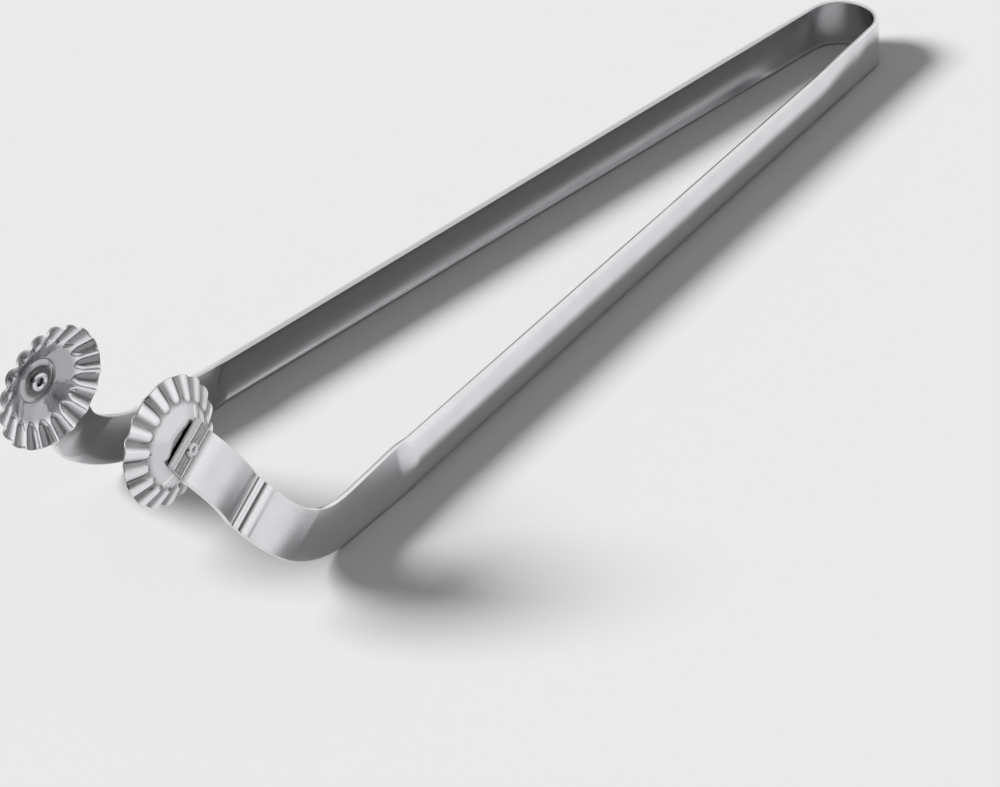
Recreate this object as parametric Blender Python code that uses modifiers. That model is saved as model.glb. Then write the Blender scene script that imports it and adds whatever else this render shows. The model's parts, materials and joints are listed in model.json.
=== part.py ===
"""Barbecue tongs: one strap bent into a bow with two arms, and a fluted disc riveted to each tab."""

import math

import bmesh
import bpy
from mathutils import Matrix, Quaternion, Vector

NAME = "barbecue_tongs"

# Clearances between pieces
SEAT_GAP = 0.0003
SHANK_GAP = 0.00015
FLEX_GAP = 0.0003

# Strap, in the order in which it runs from the bow to the tab
STRAP_THICKNESS = 0.0018
ARM_WIDTH = 0.018
HEAD_WIDTH = 0.0176
BOW_RADIUS = 0.0130
ARM_ANGLE = math.radians(5.0)
ARM_LENGTH = 0.3542
ARM_LEAN = math.radians(6.0)

# The arms are crowned between two flat stretches, and ARM_LENGTH ends at the elbow's corner
CROWN_ANGLE = math.radians(29)
CROWN_START = 0.012
CROWN_FADE_IN = 0.030
CROWN_FADE_OUT = 0.005
CROWN_SETBACK = 0.050

# The elbow turns up in the plane of the strap, and the head is folded across the strap
ELBOW_ANGLE = math.radians(59.7)
ELBOW_INNER_RADIUS = 0.0287
ELBOW_OUTER_RADIUS = 0.0527
FOLD_SETBACK = 0.0058
NECK_FOLD = math.radians(22.6)
NECK_FOLD_LENGTH = 0.0133
NECK_LENGTH = 0.0145
JOGGLE_FOLD = math.radians(30.0)
JOGGLE_LENGTH = 0.002
CURVE_FOLD = math.radians(38.8)
CURVE_LENGTH = 0.0246
CREASE_FOLD = math.radians(28.7)
CREASE_LENGTH = 0.0015
TAB_LENGTH = 0.0077
RIVET_SETBACK = 0.0042

# Disc: a dish with a recessed hub and a fluted rim, all measured at the middle of the sheet
DISC_SHEET = 0.0007
DISC_RADIUS = 0.0202
DISC_DEPTH = 0.0068
CREST_RADIUS = 0.0077
HUB_RADIUS = 0.0060
HUB_RECESS = 0.0006
FLUTE_START = 0.0124
FLUTE_HEIGHT = 0.0010
FLUTES = 18
POINTS_PER_FLUTE = 5
CONE_RING_SHARES = (0.0, 0.12, 0.3, 0.6, 1.0)

# Rivet
JOURNAL_RADIUS = 0.0020
TENON_RADIUS = 0.0015
INNER_HEAD_RADIUS = 0.0032
INNER_HEAD_HEIGHT = 0.0011
DIMPLE_RADIUS = 0.0016
DIMPLE_DEPTH = 0.0006
OUTER_HEAD_RADIUS = 0.0026
OUTER_HEAD_HEIGHT = 0.0010
RIVET_SIDES = 24
DOME_STEPS = 5
ROUNDING_STEPS = 4
CUTTER_OVERRUN = 0.001
MERGE_DISTANCE = 0.00001
SHARP_ANGLE = math.radians(32)

# Colour and roughness of the steel
STRAP_FINISH = ((0.62, 0.62, 0.63), 0.28)
DISC_FINISH = ((0.70, 0.70, 0.71), 0.16)
RIVET_FINISH = ((0.66, 0.66, 0.67), 0.20)

# Stretches of the strap's grid
WIDTH_STEPS = 8
FLAT_WIDTH_STEPS = 4
BOW_STEPS = 9
LEAN_STEPS = 8
FADE_STEPS = 3
FLAT_STEPS = 3
ELBOW_STEPS = 10
NECK_FOLD_STEPS = 5
NECK_STEPS = 4
FOLD_STEPS = 4
CURVE_STEPS = 6


def clear_scene():
    for obj in list(bpy.data.objects):
        bpy.data.objects.remove(obj, do_unlink=True)


def new_collection(name):
    collection = bpy.data.collections.new(name)
    bpy.context.scene.collection.children.link(collection)
    return collection


def steel(name, colour, roughness):
    material = bpy.data.materials.new(name)
    material.use_nodes = True
    shader = material.node_tree.nodes["Principled BSDF"]
    shader.inputs["Base Color"].default_value = (*colour, 1)
    shader.inputs["Roughness"].default_value = roughness
    shader.inputs["Metallic"].default_value = 1
    return material


def smoothstep(share):
    share = min(max(share, 0), 1)
    return share * share * (3 - 2 * share)


class Station:
    """A cross-section of the strap: its middle, its axes and its shape."""

    def __init__(self, point, heading, across, width, crown):
        self.point = point
        self.heading = heading
        self.across = across
        self.inward = heading.cross(across)
        self.width = width
        self.crown = crown

    def at(self, share):
        """The middle of the sheet, share running from -1 at the lower edge to 1 at the upper one."""
        reach = share * self.width / 2
        if self.crown == 0:
            return self.point + self.across * reach
        radius = self.width / 2 / self.crown
        angle = reach / radius
        bulge = radius * (math.cos(angle) - math.cos(self.crown))
        return self.point + self.across * radius * math.sin(angle) - self.inward * bulge


def walk(start, length, steps, fold=0.0, rise=0.0, lean=0.0, width=None, crown=None):
    """The stations along a stretch, whose turns, width and crown change evenly.

    fold turns the strap inward, rise turns it up in its own plane, and lean tips its upper edge inward.
    """
    width = start.width if width is None else width
    crown = start.crown if crown is None else crown
    stations = []
    here = start
    for step in range(1, steps + 1):
        share = step / steps
        half_turn = (here.inward * rise - here.across * fold + here.heading * lean) / (2 * steps)
        turn = Quaternion(half_turn.normalized(), half_turn.length)
        heading = turn @ here.heading
        point = here.point + heading * length / steps
        here = Station(
            point,
            turn @ heading,
            turn @ turn @ here.across,
            start.width + (width - start.width) * share,
            start.crown + (crown - start.crown) * smoothstep(share),
        )
        stations.append(here)
    return stations


def trim(station, distance):
    """The same cross-section moved along the strap's heading."""
    point = station.point + station.heading * distance
    return Station(point, station.heading, station.across, station.width, station.crown)


def bow_path():
    """Half of the bow, from its apex to the left arm."""
    apex = Station(
        Vector((BOW_RADIUS, 0, ARM_WIDTH / 2)), Vector((0, -1, 0)), Vector((0, 0, 1)), ARM_WIDTH, 0.0
    )
    quarter = math.pi / 2 - ARM_ANGLE
    return [apex] + walk(apex, BOW_RADIUS * quarter, BOW_STEPS, fold=quarter)


def arc_reach(side, radius):
    """How far from the corner of the middle line an edge's arc begins and ends, side being 1 for the upper edge."""
    return (side * ARM_WIDTH / 2 + radius) * math.tan(ELBOW_ANGLE / 2)


ELBOW_EDGES = ((1, ELBOW_INNER_RADIUS), (-1, ELBOW_OUTER_RADIUS))
ELBOW_REACH = max(arc_reach(side, radius) for side, radius in ELBOW_EDGES)


def edge_on_arm(side, radius, share):
    """A point of the elbow's edge before the fold line, along the arm and across it from the corner."""
    reach = arc_reach(side, radius)
    lead = ELBOW_REACH - reach
    sweep = ELBOW_ANGLE - math.asin((reach - FOLD_SETBACK) / radius)
    distance = share * (lead + radius * sweep)
    straight = min(distance, lead)
    angle = (distance - straight) / radius
    along = straight - ELBOW_REACH + radius * math.sin(angle)
    return along, side * ARM_WIDTH / 2 + radius * (1 - math.cos(angle))


def edge_on_head(side, radius, along):
    """How far the elbow's edge lies from the head's middle line at a distance past the corner."""
    short = max(arc_reach(side, radius) - along, 0)
    return side * ARM_WIDTH / 2 + radius - math.sqrt(radius**2 - short**2)


def elbow_path(start):
    """The elbow, flat up to the fold line, and the neck that is folded from it."""
    stations = []
    corner = start.point + start.heading * ELBOW_REACH
    for step in range(1, ELBOW_STEPS + 1):
        ends = []
        for side, radius in ELBOW_EDGES:
            along, up = edge_on_arm(side, radius, step / ELBOW_STEPS)
            ends.append(corner + start.heading * along + start.across * up)
        across = ends[0] - ends[1]
        width = across.length
        across.normalize()
        heading = across.cross(start.inward)
        stations.append(Station((ends[0] + ends[1]) / 2, heading, across, width, start.crown))
    turn = Quaternion(start.inward, ELBOW_ANGLE)
    heading = turn @ start.heading
    fold_line = Station(
        corner + heading * FOLD_SETBACK, heading, turn @ start.across, ARM_WIDTH, start.crown
    )
    middle = walk(fold_line, NECK_FOLD_LENGTH, NECK_FOLD_STEPS, fold=NECK_FOLD)
    middle += walk(middle[-1], NECK_LENGTH, NECK_STEPS)
    length = NECK_FOLD_LENGTH + NECK_LENGTH
    distances = [NECK_FOLD_LENGTH * step / NECK_FOLD_STEPS for step in range(1, NECK_FOLD_STEPS + 1)]
    distances += [NECK_FOLD_LENGTH + NECK_LENGTH * step / NECK_STEPS for step in range(1, NECK_STEPS + 1)]
    for station, distance in zip(middle, distances):
        taper = 1 + (HEAD_WIDTH / ARM_WIDTH - 1) * distance / length
        upper, lower = [
            edge_on_head(side, radius, FOLD_SETBACK + distance) * taper for side, radius in ELBOW_EDGES
        ]
        point = station.point + station.across * (upper + lower) / 2
        stations.append(Station(point, station.heading, station.across, upper - lower, station.crown))
    return stations


def arm_path(start):
    """The left arm, from the bow to the end of its tab."""
    crowned = ARM_LENGTH - CROWN_START - CROWN_FADE_IN - CROWN_FADE_OUT - CROWN_SETBACK
    stations = [start]

    def go(*stretch, **turns):
        stations.extend(walk(stations[-1], *stretch, **turns))

    go(CROWN_START, 1)
    go(CROWN_FADE_IN, FADE_STEPS, crown=CROWN_ANGLE)
    go(crowned, LEAN_STEPS, lean=ARM_LEAN)
    go(CROWN_FADE_OUT, FADE_STEPS, crown=0.0)
    go(CROWN_SETBACK - ELBOW_REACH, FLAT_STEPS, lean=-ARM_LEAN)
    stations.extend(elbow_path(stations[-1]))
    go(JOGGLE_LENGTH, FOLD_STEPS, fold=-JOGGLE_FOLD)
    go(CURVE_LENGTH, CURVE_STEPS, fold=CURVE_FOLD)
    go(CREASE_LENGTH, FOLD_STEPS, fold=-CREASE_FOLD)
    go(TAB_LENGTH, 1)
    return stations


def mirrored(station):
    """The station's twin on the other side of the mid-plane, walked the other way."""
    flip = Vector((1, -1, 1))
    return Station(
        station.point * flip, -station.heading * flip, station.across * flip, station.width, station.crown
    )


def strap_piece(name, stations, width_steps, collection, material, origin):
    """A flat grid bent onto the stations and thickened."""
    grid = bmesh.new()
    spans = len(stations) - 1
    bmesh.ops.create_grid(grid, x_segments=spans, y_segments=width_steps, size=1)
    for vert in grid.verts:
        station = stations[round((vert.co.x + 1) / 2 * spans)]
        vert.co = station.at(vert.co.y) - origin
    mesh = bpy.data.meshes.new(name)
    grid.to_mesh(mesh)
    grid.free()
    mesh.materials.append(material)
    mesh.shade_smooth()
    mesh.set_sharp_from_angle(angle=SHARP_ANGLE)
    piece = bpy.data.objects.new(name, mesh)
    piece.location = origin
    collection.objects.link(piece)
    thicken = piece.modifiers.new("thickness", "SOLIDIFY")
    thicken.thickness = STRAP_THICKNESS
    thicken.offset = 0
    thicken.use_even_offset = True
    return piece


def turned(name, profile, sides, collection, material=None):
    """A profile, given as (radius, height) from top to bottom, turned about Z."""
    mesh = bpy.data.meshes.new(name)
    verts = [(radius, 0, height) for radius, height in profile]
    edges = [(index, index + 1) for index in range(len(profile) - 1)]
    mesh.from_pydata(verts, edges, [])
    if material:
        mesh.materials.append(material)
    piece = bpy.data.objects.new(name, mesh)
    collection.objects.link(piece)
    screw = piece.modifiers.new("turn", "SCREW")
    screw.axis = "Z"
    screw.steps = sides
    screw.render_steps = sides
    screw.use_merge_vertices = True
    screw.merge_threshold = MERGE_DISTANCE
    screw.use_smooth_shade = True
    return piece


def arc(centre, radius, first, last, steps):
    """Points of an arc in the (radius, height) plane, its ends included."""
    angles = [first + (last - first) * step / steps for step in range(steps + 1)]
    return [(centre[0] + radius * math.cos(a), centre[1] + radius * math.sin(a)) for a in angles]


def dome(radius, height, base, steps):
    """The profile of a low dome from its top to its edge."""
    sphere = (radius**2 + height**2) / (2 * height)
    edge = math.asin(radius / sphere)
    points = arc((0, base + height - sphere), sphere, math.pi / 2, math.pi / 2 - edge, steps)
    return [(0, base + height)] + points[1:]


# Heights along a disc's axis, from the middle of the tab, positive outward
TAB_FACE = STRAP_THICKNESS / 2
CREST_HEIGHT = -TAB_FACE - SEAT_GAP - DISC_SHEET / 2
HUB_HEIGHT = CREST_HEIGHT - HUB_RECESS
RIM_HEIGHT = CREST_HEIGHT - DISC_DEPTH
INNER_HEAD_SEAT = HUB_HEIGHT - DISC_SHEET / 2 - SEAT_GAP
BORE_RADIUS = JOURNAL_RADIUS + SHANK_GAP


def dish_profile():
    """The dish's half section at the middle of its sheet, from the bore to the rim."""
    hub = [(BORE_RADIUS, HUB_HEIGHT), (HUB_RADIUS, HUB_HEIGHT)]
    crest = [(CREST_RADIUS, CREST_HEIGHT)]
    slope = DISC_DEPTH / (DISC_RADIUS - CREST_RADIUS)
    fluted_length = DISC_RADIUS - FLUTE_START
    cone_radii = [FLUTE_START + fluted_length * share for share in CONE_RING_SHARES]
    cone = [(radius, CREST_HEIGHT - slope * (radius - CREST_RADIUS)) for radius in cone_radii]
    return hub + crest + cone


def flute(radius, angle):
    """How far the rim is pressed outward from the cone, sharp at the ridges and round between them."""
    share = (radius - FLUTE_START) / (DISC_RADIUS - FLUTE_START)
    if share <= 0:
        return 0.0
    depth = FLUTE_HEIGHT * math.sqrt(min(share, 1))
    return depth * (2 * abs(math.sin(FLUTES * angle / 2)) - 1)


def disc_mesh(material):
    """A spun dish whose rim is rippled along the normal of its cone."""
    dish = bmesh.new()
    verts = [dish.verts.new((radius, 0, height)) for radius, height in dish_profile()]
    edges = [dish.edges.new(pair) for pair in zip(verts, verts[1:])]
    bmesh.ops.spin(
        dish,
        geom=verts + edges,
        cent=(0, 0, 0),
        axis=(0, 0, 1),
        angle=math.tau,
        steps=FLUTES * POINTS_PER_FLUTE,
        use_merge=True,
    )
    cone_angle = math.atan2(DISC_DEPTH, DISC_RADIUS - CREST_RADIUS)
    for vert in dish.verts:
        radius = math.hypot(vert.co.x, vert.co.y)
        angle = math.atan2(vert.co.y, vert.co.x)
        press = flute(radius, angle)
        reach = radius + press * math.sin(cone_angle)
        height = vert.co.z + press * math.cos(cone_angle)
        vert.co = (reach * math.cos(angle), reach * math.sin(angle), height)
    bmesh.ops.recalc_face_normals(dish, faces=dish.faces)
    mesh = bpy.data.meshes.new("fluted_dish")
    dish.to_mesh(mesh)
    dish.free()
    mesh.materials.append(material)
    mesh.shade_smooth()
    mesh.set_sharp_from_angle(angle=SHARP_ANGLE)
    return mesh


def disc(name, mesh, place, collection):
    piece = bpy.data.objects.new(name, mesh)
    piece.matrix_world = place
    collection.objects.link(piece)
    thicken = piece.modifiers.new("thickness", "SOLIDIFY")
    thicken.thickness = DISC_SHEET
    thicken.offset = 0
    return piece


def rivet(name, place, collection, material):
    """A shouldered rivet: outer head, tenon through the tab, journal for the disc, dimpled inner head."""
    outer_seat = TAB_FACE + SEAT_GAP
    shoulder = -TAB_FACE - SEAT_GAP
    head_end = INNER_HEAD_SEAT - INNER_HEAD_HEIGHT
    rounding = (INNER_HEAD_RADIUS - DIMPLE_RADIUS) / 2
    profile = dome(OUTER_HEAD_RADIUS, OUTER_HEAD_HEIGHT, outer_seat, DOME_STEPS)
    profile += [(TENON_RADIUS, outer_seat), (TENON_RADIUS, shoulder)]
    profile += [(JOURNAL_RADIUS, shoulder), (JOURNAL_RADIUS, INNER_HEAD_SEAT)]
    profile += [(INNER_HEAD_RADIUS, INNER_HEAD_SEAT)]
    profile += arc(
        (INNER_HEAD_RADIUS - rounding, head_end + rounding), rounding, 0, -math.pi / 2, ROUNDING_STEPS
    )
    profile += [(DIMPLE_RADIUS, head_end), (0, head_end + DIMPLE_DEPTH)]
    piece = turned(name, profile, RIVET_SIDES, collection, material)
    piece.matrix_world = place
    return piece


def tenon_hole(arm, place, cutters):
    """Cuts the tab's hole for the rivet's tenon."""
    cutter = bmesh.new()
    bmesh.ops.create_cone(
        cutter,
        cap_ends=True,
        segments=RIVET_SIDES,
        radius1=TENON_RADIUS + SHANK_GAP,
        radius2=TENON_RADIUS + SHANK_GAP,
        depth=STRAP_THICKNESS + 2 * CUTTER_OVERRUN,
    )
    mesh = bpy.data.meshes.new(arm.name + "_hole")
    cutter.to_mesh(mesh)
    cutter.free()
    drill = bpy.data.objects.new(arm.name + "_hole", mesh)
    drill.matrix_world = place
    drill.hide_render = True
    drill.display_type = "WIRE"
    cutters.objects.link(drill)
    cut = arm.modifiers.new("tenon_hole", "BOOLEAN")
    cut.operation = "DIFFERENCE"
    cut.solver = "EXACT"
    cut.object = drill
    return drill


def axis_frame(station):
    """The rivet's frame on a tab: its origin at the middle of the tab and +Z pointing outward."""
    up = station.heading
    out = -station.inward
    side = up.cross(out)
    point = station.point - station.heading * RIVET_SETBACK
    frame = Matrix((side, up, out)).transposed().to_4x4()
    frame.translation = point
    return frame


def turned_about_up(frame):
    """The mirror twin of an axis frame, without a mirroring matrix."""
    flip = Vector((1, -1, 1))
    up = frame.col[1].to_3d() * flip
    out = frame.col[2].to_3d() * flip
    twin = Matrix((up.cross(out), up, out)).transposed().to_4x4()
    twin.translation = frame.translation * flip
    return twin


def move_origin_to_floor_centre(pieces, movers):
    """Shifts everything so that the origin is at the middle of the box's floor."""
    bpy.context.view_layer.update()
    graph = bpy.context.evaluated_depsgraph_get()
    corners = []
    for piece in pieces:
        solid = piece.evaluated_get(graph)
        corners += [solid.matrix_world @ vert.co for vert in solid.data.vertices]
    low = Vector([min(corner[axis] for corner in corners) for axis in range(3)])
    high = Vector([max(corner[axis] for corner in corners) for axis in range(3)])
    middle = (low + high) / 2
    for mover in movers:
        mover.location -= Vector((middle.x, middle.y, low.z))


def main():
    clear_scene()
    parts = new_collection(NAME)
    cutters = new_collection("cutters")
    brushed = steel("brushed_steel", *STRAP_FINISH)
    bright = steel("bright_steel", *DISC_FINISH)
    polished = steel("polished_rivet", *RIVET_FINISH)

    half_bow = bow_path()
    bow_end = half_bow[-1]
    arm = arm_path(trim(bow_end, FLEX_GAP))
    whole_bow = [mirrored(station) for station in reversed(half_bow[1:])] + half_bow
    bow = strap_piece("spring_bow", whole_bow, FLAT_WIDTH_STEPS, parts, brushed, Vector((0, 0, 0)))

    flip = Vector((1, -1, 1))
    flex_axis = trim(bow_end, FLEX_GAP / 2).point
    left_frame = axis_frame(arm[-1])
    right_frame = turned_about_up(left_frame)
    left_arm = strap_piece("left_arm", arm, WIDTH_STEPS, parts, brushed, flex_axis)
    right_path = [mirrored(station) for station in reversed(arm)]
    right_arm = strap_piece("right_arm", right_path, WIDTH_STEPS, parts, brushed, flex_axis * flip)
    drills = [tenon_hole(left_arm, left_frame, cutters), tenon_hole(right_arm, right_frame, cutters)]

    dish = disc_mesh(bright)
    discs = [disc("left_disc", dish, left_frame, parts), disc("right_disc", dish, right_frame, parts)]
    rivets = [
        rivet("left_rivet", left_frame, parts, polished),
        rivet("right_rivet", right_frame, parts, polished),
    ]
    pieces = [bow, left_arm, right_arm] + discs + rivets
    move_origin_to_floor_centre(pieces, pieces + drills)


main()
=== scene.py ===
"""Looks of the barbecue tongs: the bent strap, the fluted discs and their rivets."""

import json
import math

import bpy
from mathutils import Matrix, Quaternion, Vector


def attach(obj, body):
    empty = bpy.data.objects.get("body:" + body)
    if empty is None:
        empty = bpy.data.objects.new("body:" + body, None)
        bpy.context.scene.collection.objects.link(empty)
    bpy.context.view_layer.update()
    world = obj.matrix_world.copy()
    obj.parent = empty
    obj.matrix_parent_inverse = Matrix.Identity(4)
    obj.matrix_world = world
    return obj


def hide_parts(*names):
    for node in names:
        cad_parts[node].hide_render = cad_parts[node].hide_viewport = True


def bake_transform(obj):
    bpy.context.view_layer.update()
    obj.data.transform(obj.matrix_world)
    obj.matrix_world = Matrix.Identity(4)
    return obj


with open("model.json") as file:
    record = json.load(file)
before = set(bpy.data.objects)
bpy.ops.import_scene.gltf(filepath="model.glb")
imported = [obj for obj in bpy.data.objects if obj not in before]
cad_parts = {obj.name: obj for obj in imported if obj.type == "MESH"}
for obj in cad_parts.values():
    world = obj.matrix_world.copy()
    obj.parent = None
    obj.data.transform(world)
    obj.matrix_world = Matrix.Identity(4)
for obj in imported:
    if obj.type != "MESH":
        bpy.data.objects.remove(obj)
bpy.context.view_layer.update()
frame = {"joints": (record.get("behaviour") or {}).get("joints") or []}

# Lengths are in metres, and angles in radians unless a comment says degrees
JOINT_PLACES = {joint["name"]: Vector(joint["pos_m"]) for joint in frame["joints"]}

# What a place or a direction on the left is multiplied by to mirror it to the right
FLIP = Vector((1, -1, 1))

# The strap's path, as in the solids
THICKNESS = 0.0018
FLEX_GAP = 0.0003
ARM_WIDTH = 0.018
HEAD_WIDTH = 0.0176
BOW_RADIUS = 0.0130
ARM_ANGLE = math.radians(5.0)
ARM_LENGTH = 0.3542
ARM_LEAN = math.radians(6.0)
CROWN_ANGLE = math.radians(29)
CROWN_START = 0.012
CROWN_FADE_IN = 0.030
CROWN_SETBACK = 0.050
ELBOW_ANGLE = math.radians(59.7)
ELBOW_INNER_RADIUS = 0.0287
ELBOW_OUTER_RADIUS = 0.0527
FOLD_SETBACK = 0.0058
NECK_FOLD = math.radians(22.6)
NECK_FOLD_LENGTH = 0.0133
NECK_LENGTH = 0.0145
JOGGLE_FOLD = math.radians(30.0)
JOGGLE_LENGTH = 0.002
CURVE_FOLD = math.radians(38.8)
CURVE_LENGTH = 0.0246
CREASE_FOLD = math.radians(28.7)
CREASE_LENGTH = 0.0015
TAB_LENGTH = 0.0077

# Fine shape of the strap
EDGE_ROUND = 0.00040
LEAST_ROUND = 0.00002
BOW_CROWN = math.radians(7)
NEAR_BOW_CROWN = math.radians(15)
CROWN_FADE_OUT = 0.008
NECK_CREASE = math.radians(7.0)
NECK_CREASE_LENGTH = 0.0007
NECK_MARKED_LENGTH = 0.0090
TAB_CORNER = 0.0012
CORNER_SPREAD_SHARE = 0.55
SHEAR_ROUND = 0.00022
CAP_INSET = 0.00012
TAB_BEVEL = 0.0015
TAB_BEVEL_DROP = 0.00062

# Pressed marks: distance from the end, half width, depth and painted light, 1 painted shade and -1
# painted highlight
NECK_MARKS = (
    (0.0066, 0.0020, -0.00026, 0.0), (0.0039, 0.00110, 0.00050, 1.0),
    (0.0025, 0.00035, -0.00005, -1.0), (0.0014, 0.00035, -0.00005, -1.0),
    (0.0005, 0.00060, 0.00036, 1.0),
)
TAB_MARKS = (
    (0.0074, 0.00045, 0.00030, 0.9), (0.0066, 0.00035, -0.00014, -1.0),
    (0.0058, 0.00040, 0.00012, 0.5), (0.0032, 0.00025, 0.00006, 0.6),
    (0.0023, 0.00035, 0.00016, 1.0), (0.0016, 0.00028, -0.00012, -1.0),
)

# Spacing of the strap's sections, and how many there are where they are counted
BOW_PITCH = 0.0006
NEAR_BOW_PITCH = 0.001
CROWN_PITCH = 0.0015
ARM_PITCH = 0.006
CROWN_END_PITCH = 0.00035
ELBOW_STEPS = 30
NECK_CREASE_PITCH = 0.00018
NECK_FOLD_PITCH = 0.0005
NECK_PITCH = 0.002
NECK_MARKED_PITCH = 0.00015
CREASE_PITCH = 0.0002
CURVE_PITCH = 0.0006
TAB_PITCH = 0.00016
CORNER_STEPS = 8
SHEAR_STEPS = 4
ROUND_STEPS = 4
FACE_SHARES = (-1, -0.975, -0.9, -0.75, -0.5, -0.25, 0, 0.25, 0.5, 0.75, 0.9, 0.975, 1)

# The discs and rivets, as in the solids; a disc is measured at the middle of its sheet
SEAT_GAP = 0.0003
SHANK_GAP = 0.00015
DISC_SHEET = 0.0007
DISC_RADIUS = 0.0202
DISC_DEPTH = 0.0068
CREST_RADIUS = 0.0077
HUB_RECESS = 0.0006
FLUTE_START = 0.0124
FLUTE_HEIGHT = 0.0010
FLUTES = 18
JOURNAL_RADIUS = 0.0020
TENON_RADIUS = 0.0015
INNER_HEAD_RADIUS = 0.0032
INNER_HEAD_HEIGHT = 0.0011
OUTER_HEAD_RADIUS = 0.0026
OUTER_HEAD_HEIGHT = 0.0010


def smoothstep(share):
    share = min(max(share, 0.0), 1.0)
    return share * share * (3 - 2 * share)


class Station:
    """A cross-section of the strap at a distance along it."""

    def __init__(self, point, heading, across, width, crown, distance=0.0):
        self.point = point
        self.heading = heading
        self.across = across
        self.inward = heading.cross(across)
        self.width = width
        self.crown = crown
        self.distance = distance
        self.inset = 0.0
        self.relief = 0.0
        # Painted light at this section: above zero painted shade, below zero painted highlight
        self.painted_light = 0.0

    def at(self, reach, height):
        """A point of the section: reach across it, height toward its outer face."""
        if self.crown < 1e-6:
            return self.point + self.across * reach - self.inward * height
        radius = self.width / 2 / self.crown
        angle = reach / radius
        rise = radius * (math.cos(angle) - math.cos(self.crown)) + height * math.cos(angle)
        side = (radius + height) * math.sin(angle)
        return self.point + self.across * side - self.inward * rise

    def copy(self, **changes):
        values = {
            "point": self.point, "heading": self.heading, "across": self.across,
            "width": self.width, "crown": self.crown, "distance": self.distance,
        }
        values.update(changes)
        twin = Station(**values)
        twin.inset, twin.relief, twin.painted_light = self.inset, self.relief, self.painted_light
        return twin

    def moved(self, offset):
        return self.copy(point=self.point + offset)

    def mirrored(self):
        return self.copy(
            point=self.point * FLIP, heading=-self.heading * FLIP,
            across=self.across * FLIP, distance=-self.distance,
        )

    def press(self, back, marks):
        """Press marks into the outer face, this far back from their end; below zero is a ridge."""
        for middle, half, depth, painted_light in marks:
            share = 1 - smoothstep(abs(back - middle) / half)
            self.relief -= depth * share
            # The marks paint shade into their grooves and a highlight onto their ridges
            self.painted_light += painted_light * share


def walk(start, length, pitch, fold=0.0, lean=0.0, crown=None):
    """Sections along a stretch, pitch apart or less, with its turns and its change of crown."""
    crown = start.crown if crown is None else crown
    steps = max(1, math.ceil(length / pitch - 1e-6))
    stations, here = [], start
    for step in range(1, steps + 1):
        half_turn = (here.heading * lean - here.across * fold) / (2 * steps)
        turn = Quaternion()
        if half_turn.length > 0:
            turn = Quaternion(half_turn.normalized(), half_turn.length)
        heading = turn @ here.heading
        here = Station(
            here.point + heading * length / steps,
            turn @ heading,
            turn @ turn @ here.across,
            start.width,
            start.crown + (crown - start.crown) * smoothstep(step / steps),
            here.distance + length / steps,
        )
        stations.append(here)
    return stations


def arc_reach(side, radius):
    """How far from the elbow's corner its edge on that side starts to bend."""
    return (side * ARM_WIDTH / 2 + radius) * math.tan(ELBOW_ANGLE / 2)


ELBOW_EDGES = ((1, ELBOW_INNER_RADIUS), (-1, ELBOW_OUTER_RADIUS))
ELBOW_REACH = max(arc_reach(side, radius) for side, radius in ELBOW_EDGES)


def edge_on_arm(side, radius, share):
    """An edge of the elbow on the way to the fold line: along the arm and up from its middle."""
    reach = arc_reach(side, radius)
    lead = ELBOW_REACH - reach
    sweep = ELBOW_ANGLE - math.asin((reach - FOLD_SETBACK) / radius)
    distance = share * (lead + radius * sweep)
    straight = min(distance, lead)
    angle = (distance - straight) / radius
    along = straight - ELBOW_REACH + radius * math.sin(angle)
    return along, side * ARM_WIDTH / 2 + radius * (1 - math.cos(angle))


def edge_on_head(side, radius, along):
    """How far from the neck's middle its edge is, so far along from the elbow's corner."""
    short = max(arc_reach(side, radius) - along, 0)
    return side * ARM_WIDTH / 2 + radius - math.sqrt(radius**2 - short**2)


def elbow_path(start):
    """The elbow, flat up to the fold line, and the neck that is folded from it."""
    stations = []
    corner = start.point + start.heading * ELBOW_REACH
    for step in range(1, ELBOW_STEPS + 1):
        ends = []
        for side, radius in ELBOW_EDGES:
            along, up = edge_on_arm(side, radius, step / ELBOW_STEPS)
            ends.append(corner + start.heading * along + start.across * up)
        across = ends[0] - ends[1]
        width = across.length
        across.normalize()
        middle = (ends[0] + ends[1]) / 2
        distance = start.distance + (ELBOW_REACH + FOLD_SETBACK) * step / ELBOW_STEPS
        stations.append(
            Station(middle, across.cross(start.inward), across, width, 0.0, distance)
        )
    turn = Quaternion(start.inward, ELBOW_ANGLE)
    heading = turn @ start.heading
    fold_line = Station(
        corner + heading * FOLD_SETBACK, heading, turn @ start.across, ARM_WIDTH, 0.0,
        start.distance + ELBOW_REACH + FOLD_SETBACK,
    )
    neck = walk(fold_line, NECK_CREASE_LENGTH, NECK_CREASE_PITCH, fold=NECK_CREASE)
    neck += walk(
        neck[-1], NECK_FOLD_LENGTH - NECK_CREASE_LENGTH, NECK_FOLD_PITCH,
        fold=NECK_FOLD - NECK_CREASE,
    )
    neck += walk(neck[-1], NECK_LENGTH - NECK_MARKED_LENGTH, NECK_PITCH)
    neck += walk(neck[-1], NECK_MARKED_LENGTH, NECK_MARKED_PITCH)
    for station in neck:
        past = station.distance - fold_line.distance
        taper = 1 + (HEAD_WIDTH / ARM_WIDTH - 1) * past / (NECK_FOLD_LENGTH + NECK_LENGTH)
        upper, lower = [
            edge_on_head(side, radius, FOLD_SETBACK + past) * taper for side, radius in ELBOW_EDGES
        ]
        point = station.point + station.across * (upper + lower) / 2
        stations.append(station.copy(point=point, width=upper - lower))
    neck_end = stations[-1].distance
    for station in stations:
        station.press(neck_end - station.distance, NECK_MARKS)
    return stations


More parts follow.
